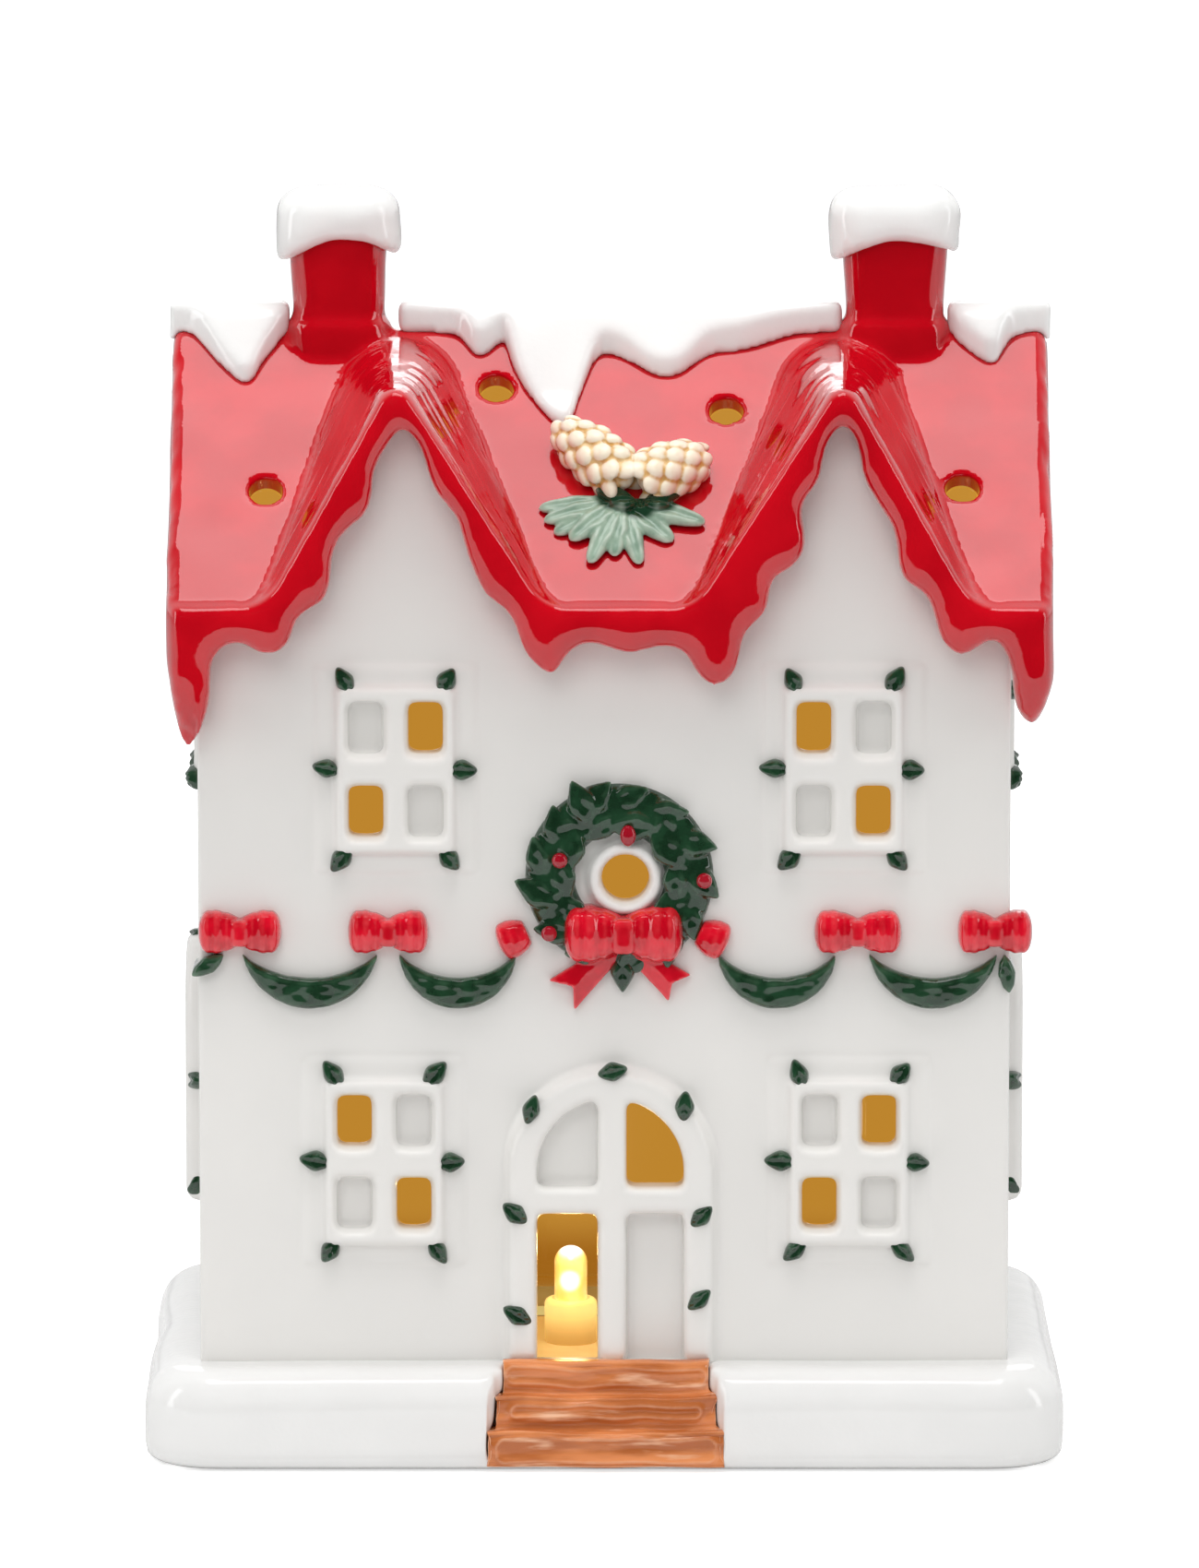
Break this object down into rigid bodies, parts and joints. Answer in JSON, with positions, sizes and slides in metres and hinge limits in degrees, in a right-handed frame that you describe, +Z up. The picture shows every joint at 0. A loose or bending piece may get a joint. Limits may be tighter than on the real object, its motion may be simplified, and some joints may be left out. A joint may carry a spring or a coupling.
{
  "type": "light-up christmas house",
  "caption": "Two-storey glazed ceramic house on a snowy base, with twin dormers, a dripping roof edge, a wreath and garland, and a battery light that pulls out from below.",
  "frame": {"origin": "on the table, under the middle of the snow base", "axes": "+Z up, -Y the way the door looks, +X to the viewer's right when the door is in front"},
  "size_m": [0.14, 0.092, 0.1906],
  "materials": {
    "snow_glaze": "thick glossy white glaze, like settled snow",
    "wall_glaze": "glossy warm white glaze",
    "red_glaze": "deep glossy red glaze that pools and drips",
    "green_glaze": "dark green glaze",
    "sage_glaze": "pale sage green glaze",
    "cone_glaze": "cream and golden brown glaze",
    "berry_glaze": "red glaze on small berries",
    "ribbon_glaze": "bright red glaze on ribbons and bows",
    "step_glaze": "terracotta glaze with lighter worn ridges",
    "housing_plastic": "white moulded plastic",
    "collar_plastic": "warm translucent moulded plastic",
    "lamp_lens": "clear epoxy lens, lit",
    "seal_rubber": "soft white silicone ring",
    "board_laminate": "green circuit board",
    "black_plastic": "black moulded plastic",
    "cell_steel": "plain steel can",
    "contact_steel": "nickel-plated spring steel",
    "screw_steel": "small steel screw"
  },
  "bodies": {
    "house": {"snow_base": "snow_glaze", "house_walls": "wall_glaze", "roof_shell": "red_glaze", "door_steps": "step_glaze", "ridge_snow": "snow_glaze", "chimney_left": "red_glaze", "chimney_right": "red_glaze", "chimney_snow_left": "snow_glaze", "chimney_snow_right": "snow_glaze", "window_upper_left": "wall_glaze", "window_upper_right": "wall_glaze", "window_lower_left": "wall_glaze", "window_lower_right": "wall_glaze", "windows_back": "wall_glaze", "windows_side_upper": "wall_glaze", "windows_side_lower": "wall_glaze", "door_frame": "wall_glaze", "round_window": "wall_glaze", "window_leaves_front": "green_glaze", "window_leaves_back": "green_glaze", "window_leaves_side": "green_glaze", "door_leaves": "green_glaze", "pinecone_left": "cone_glaze", "pinecone_right": "cone_glaze", "fir_sprig": "sage_glaze", "wreath": "green_glaze", "wreath_berries": "berry_glaze", "wreath_bow": "ribbon_glaze", "wreath_drop_leaf": "green_glaze", "garland_bows": "ribbon_glaze", "garland_swags": "green_glaze", "garland_tails": "green_glaze"},
    "light_unit": {"light_housing": "housing_plastic", "light_base_plate": "housing_plastic", "seal_ring": "seal_rubber", "lamp_collar": "collar_plastic", "lamp_lens": "lamp_lens", "lamp_leads": "contact_steel", "circuit_board": "board_laminate", "driver_chip": "black_plastic", "coin_cell": "cell_steel", "cell_contact": "contact_steel", "cell_clip": "contact_steel", "switch_case": "black_plastic"},
    "battery_door": {"battery_door": "housing_plastic", "battery_door_screw": "screw_steel"},
    "switch": {"switch_knob": "black_plastic"}
  },
  "joints": [
    {"name": "light_unit_pull", "type": "slide", "parent": "house", "child": "light_unit", "axis": [0, 0, -1], "range_m": [0, 0.03]},
    {"name": "battery_door_hinge", "type": "hinge", "parent": "light_unit", "child": "battery_door", "pos_m": [-0.00515, -0.0127, 0.00125], "axis": [-1, 0, 0], "range_deg": [0, 80]},
    {"name": "switch_slide", "type": "slide", "parent": "light_unit", "child": "switch", "axis": [0, 1, 0], "range_m": [0, 0.003]}
  ]
}
